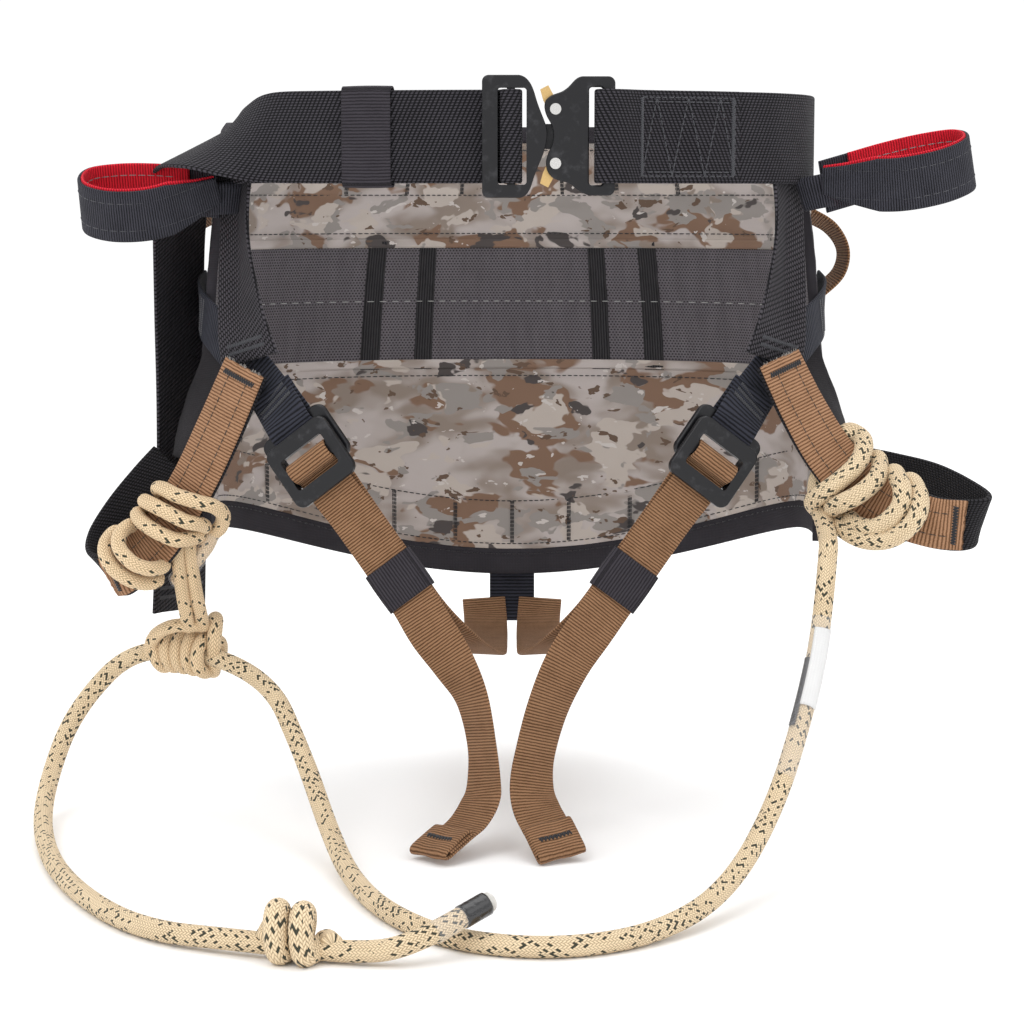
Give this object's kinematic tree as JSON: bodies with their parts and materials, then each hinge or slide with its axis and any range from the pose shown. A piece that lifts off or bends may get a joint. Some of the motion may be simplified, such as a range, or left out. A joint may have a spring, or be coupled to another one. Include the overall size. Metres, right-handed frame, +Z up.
{
  "type": "tree climbing saddle harness",
  "caption": "Sit harness for tree climbing: seat panel, buckled waist belt, leg straps with metal buckles, side loops and an adjustable rope bridge with hitches.",
  "frame": {"origin": "middle of the wearer's waist at the height of the belt's centre line", "axes": "+Z up the wearer's body, +X to the right of someone looking at the wearer's front, -Y the way the wearer faces"},
  "size_m": [0.482, 0.4462, 0.3824],
  "materials": {
    "black_webbing": "coarse woven nylon",
    "elastic": "ribbed elastic",
    "brown_webbing": "ribbed woven nylon",
    "black_fabric": "plain woven",
    "camouflage_fabric": "printed plain weave",
    "mesh_fabric": "spacer mesh",
    "red_webbing": "woven",
    "black_metal": "satin black anodised",
    "steel": "polished",
    "brass": "satin",
    "tan_rope": "braided sheath with dark flecks",
    "tan_cord": "braided sheath",
    "clear_film": "clear shrink film",
    "rope_cap": "heat-shrink film"
  },
  "bodies": {
    "root": {"belt_strap_adjustable": "black_webbing", "belt_strap_fixed": "black_webbing", "bridge_loop_left": "black_webbing", "bridge_loop_right": "black_webbing", "bridge_rope": "tan_rope", "bridge_sleeve_left": "brown_webbing", "bridge_sleeve_right": "brown_webbing", "buckle_back_plate": "black_metal", "buckle_clip_springs": "steel", "buckle_front_plate": "black_metal", "buckle_rivets": "steel", "cord_hitch_left": "tan_cord", "cord_strand_a": "tan_cord", "cord_strand_b": "tan_cord", "crotch_tab": "black_webbing", "friction_hitch": "tan_cord", "gear_loop_left": "brown_webbing", "gear_loop_right": "brown_webbing", "gear_row_lower": "black_webbing", "gear_row_upper": "black_webbing", "hip_strap_left": "black_webbing", "hip_strap_right": "black_webbing", "hip_wing_left": "black_fabric", "hip_wing_right": "black_fabric", "leg_ring_left": "black_metal", "leg_ring_right": "black_metal", "leg_strap_left": "brown_webbing", "leg_strap_right": "brown_webbing", "leg_tail_end_left": "brown_webbing", "leg_tail_end_right": "brown_webbing", "mesh_ribs": "black_webbing", "panel_binding": "black_fabric", "panel_lower": "camouflage_fabric", "panel_mesh": "mesh_fabric", "panel_top_tape": "black_fabric", "panel_upper": "camouflage_fabric", "rope_end_cap": "rope_cap", "rope_hitch_right": "tan_rope", "rope_label_sleeve": "clear_film", "side_strap_left": "black_webbing", "side_strap_right": "black_webbing", "stopper_knot": "tan_rope"},
    "male_buckle": {"buckle_male_frame": "black_metal"},
    "adjuster_bar": {"buckle_adjuster_bar": "black_metal"},
    "clip_top": {"buckle_clip_top": "brass"},
    "clip_bottom": {"buckle_clip_bottom": "brass"},
    "belt_keeper": {"belt_keeper": "elastic"},
    "leg_keeper_left": {"leg_keeper_left": "elastic"},
    "leg_slider_left": {"leg_slider_left": "black_metal"},
    "lineman_left": {"lineman_loop_left": "black_webbing", "lineman_lining_left": "red_webbing"},
    "leg_keeper_right": {"leg_keeper_right": "elastic"},
    "leg_slider_right": {"leg_slider_right": "black_metal"},
    "lineman_right": {"lineman_loop_right": "black_webbing", "lineman_lining_right": "red_webbing"}
  },
  "joints": [
    {"name": "buckle_release", "type": "slide", "parent": "root", "child": "male_buckle", "axis": [-1, 0, 0], "range_m": [0, 0.018], "deforming": ["belt_strap_adjustable"]},
    {"name": "adjuster_bar_slide", "type": "slide", "parent": "male_buckle", "child": "adjuster_bar", "axis": [1, 0, 0], "range_m": [0, 0.003], "deforming": ["belt_strap_adjustable"]},
    {"name": "clip_top_pivot", "type": "hinge", "parent": "root", "child": "clip_top", "pos_m": [0.021, -0.1025, 0.013], "axis": [0, -1, 0], "range_deg": [0, 10], "stiffness_Nm_per_rad": 0.05},
    {"name": "clip_bottom_pivot", "type": "hinge", "parent": "root", "child": "clip_bottom", "pos_m": [0.021, -0.1025, -0.013], "axis": [0, 1, 0], "range_deg": [0, 10], "stiffness_Nm_per_rad": 0.05},
    {"name": "belt_keeper_slide", "type": "hinge", "parent": "root", "child": "belt_keeper", "pos_m": [-0.02548, 0.08374, 0], "axis": [0, 0, 1], "range_deg": [-3, 3]},
    {"name": "leg_keeper_left_slide", "type": "slide", "parent": "root", "child": "leg_keeper_left", "axis": [0.5796, -0.1434, -0.8022], "range_m": [-0.01, 0.005]},
    {"name": "leg_slider_left_tilt", "type": "hinge", "parent": "root", "child": "leg_slider_left", "pos_m": [-0.10001, -0.08811, -0.15983], "axis": [-0.7655, 0.2417, -0.5963], "range_deg": [0, 3], "stiffness_Nm_per_rad": 0.05},
    {"name": "lineman_left_swing", "type": "hinge", "parent": "root", "child": "lineman_left", "pos_m": [-0.14817, -0.05268, -0.02981], "axis": [-0.001, -0.4392, 0.8984], "range_deg": [0, 35], "stiffness_Nm_per_rad": 0.15},
    {"name": "leg_keeper_right_slide", "type": "slide", "parent": "root", "child": "leg_keeper_right", "axis": [-0.5796, -0.1434, -0.8022], "range_m": [-0.01, 0.005]},
    {"name": "leg_slider_right_tilt", "type": "hinge", "parent": "root", "child": "leg_slider_right", "pos_m": [0.10001, -0.08811, -0.15983], "axis": [-0.7655, -0.2417, 0.5963], "range_deg": [0, 3], "stiffness_Nm_per_rad": 0.05},
    {"name": "lineman_right_swing", "type": "hinge", "parent": "root", "child": "lineman_right", "pos_m": [0.15801, -0.04886, -0.0259], "axis": [-0.2044, -0.2948, 0.9335], "range_deg": [-35, 20], "stiffness_Nm_per_rad": 0.15}
  ]
}
